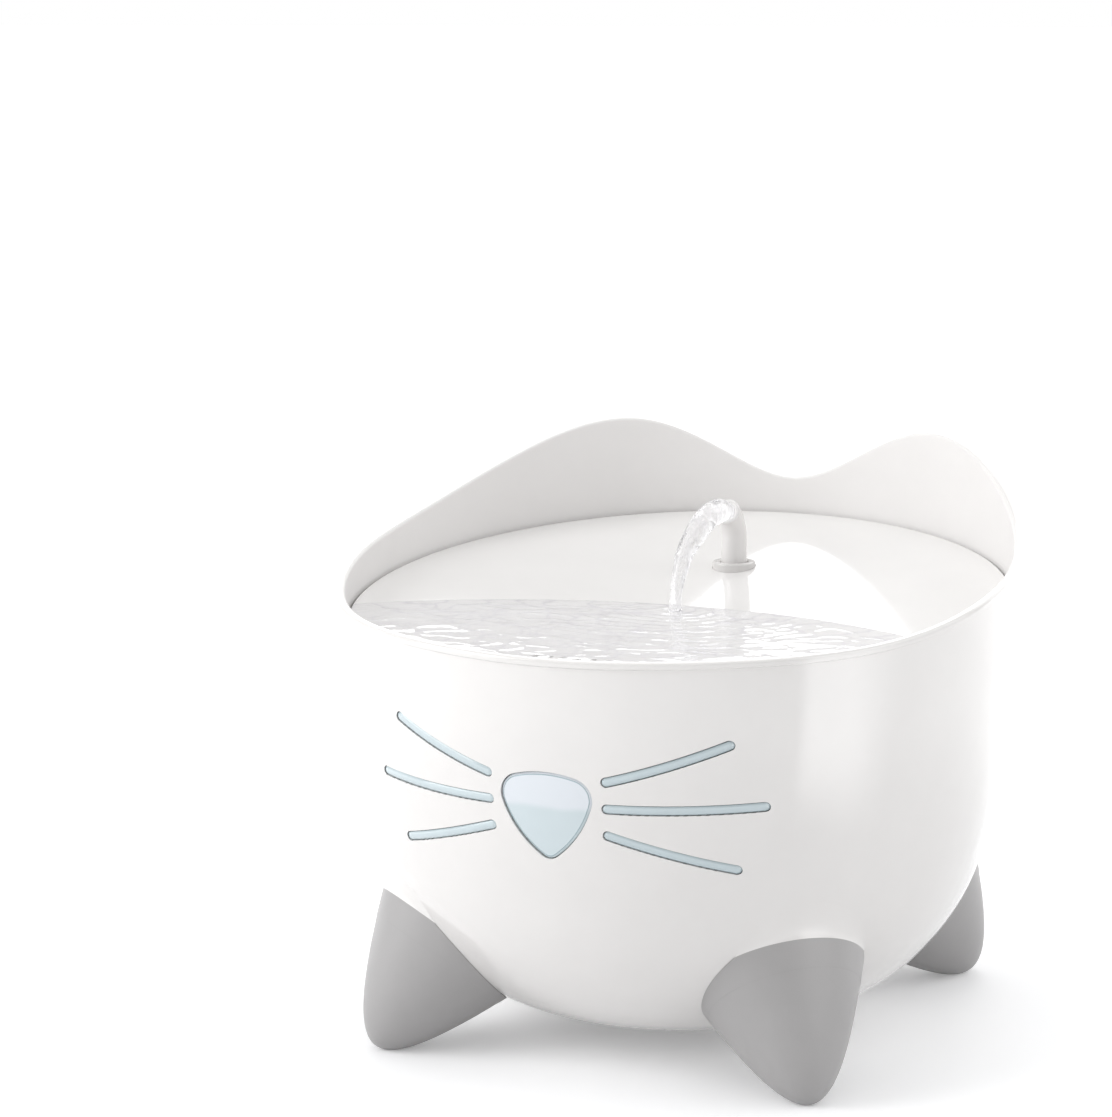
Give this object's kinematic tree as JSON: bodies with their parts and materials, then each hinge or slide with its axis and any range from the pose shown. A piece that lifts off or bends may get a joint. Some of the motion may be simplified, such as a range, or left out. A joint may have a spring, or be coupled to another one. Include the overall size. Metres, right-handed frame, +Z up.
{
  "type": "pet water fountain",
  "caption": "Round footed pet water fountain with eared rim, nose and whisker windows, tilted drinking tray, bent spout, filter cup and submersible pump.",
  "frame": {"origin": "on the bowl's axis, on the surface the feet stand on", "axes": "+Z up along the bowl's axis, -Y towards the nose window at the front, +X to the right seen from the front"},
  "size_m": [0.236, 0.236, 0.1969],
  "materials": {
    "bowl_white": "glossy injection-moulded plastic, warm white",
    "boot_grey": "satin soft-touch plastic, mid grey",
    "window_blue": "translucent ice-blue lens, polished",
    "seal_clear": "translucent silicone",
    "seal_black": "black rubber",
    "tray_white": "high-gloss plastic, white",
    "spout_white": "glossy plastic, off-white",
    "ring_grey": "glossy translucent plastic, light grey",
    "filter_grey": "matte plastic, light grey",
    "filter_fibre": "non-woven polyester fibre",
    "carbon": "bed of activated carbon granules",
    "pump_black": "matte plastic, black",
    "impeller_blue": "moulded plastic, natural",
    "magnet": "sintered ferrite",
    "shaft_ceramic": "ground ceramic",
    "core_steel": "stacked steel laminations",
    "coil_copper": "enamelled copper winding",
    "led_clear": "clear epoxy",
    "board_green": "solder-masked circuit board",
    "grommet_grey": "soft rubber, grey"
  },
  "bodies": {
    "bowl": {"reservoir": "bowl_white", "foot_front_left": "boot_grey", "foot_front_right": "boot_grey", "foot_rear_left": "boot_grey", "foot_rear_right": "boot_grey", "nose_window": "window_blue", "nose_seal": "seal_clear", "whisker_upper_left": "window_blue", "whisker_upper_right": "window_blue", "whisker_middle_left": "window_blue", "whisker_middle_right": "window_blue", "whisker_lower_left": "window_blue", "whisker_lower_right": "window_blue", "cable_grommet": "grommet_grey", "pump_housing": "pump_black", "pump_front_plate": "pump_black", "pump_volute": "pump_black", "pump_cover": "pump_black", "intake_strainer": "filter_grey", "pump_cable_gland": "seal_black", "suction_cups": "seal_clear", "stator_core": "core_steel", "stator_coil": "coil_copper", "impeller_shaft": "shaft_ceramic", "shaft_bush_inner": "seal_black", "shaft_bush_outer": "seal_black", "led_lens": "led_clear", "led": "led_clear", "led_board": "board_green", "riser_tube": "ring_grey", "riser_o_ring": "seal_black"},
    "tray": {"drinking_tray": "tray_white", "spout_ring": "ring_grey"},
    "spout": {"spout": "spout_white", "spout_o_ring": "seal_black"},
    "filter": {"filter_cup": "filter_grey", "filter_pad": "filter_fibre", "carbon_bed": "carbon", "filter_lid": "filter_grey"},
    "rotor": {"impeller": "impeller_blue", "impeller_magnet": "magnet"}
  },
  "joints": [
    {"name": "tray_lift", "type": "slide", "parent": "bowl", "child": "tray", "axis": [0, 0, 1], "range_m": [0, 0.14]},
    {"name": "spout_lift", "type": "slide", "parent": "tray", "child": "spout", "axis": [0, 0, 1], "range_m": [0, 0.03]},
    {"name": "filter_drop", "type": "slide", "parent": "tray", "child": "filter", "axis": [0, 0, -1], "range_m": [0, 0.03]},
    {"name": "impeller_spin", "type": "hinge", "parent": "bowl", "child": "rotor", "pos_m": [0, 0.03, 0.041], "axis": [0, 1, 0], "continuous": true}
  ]
}
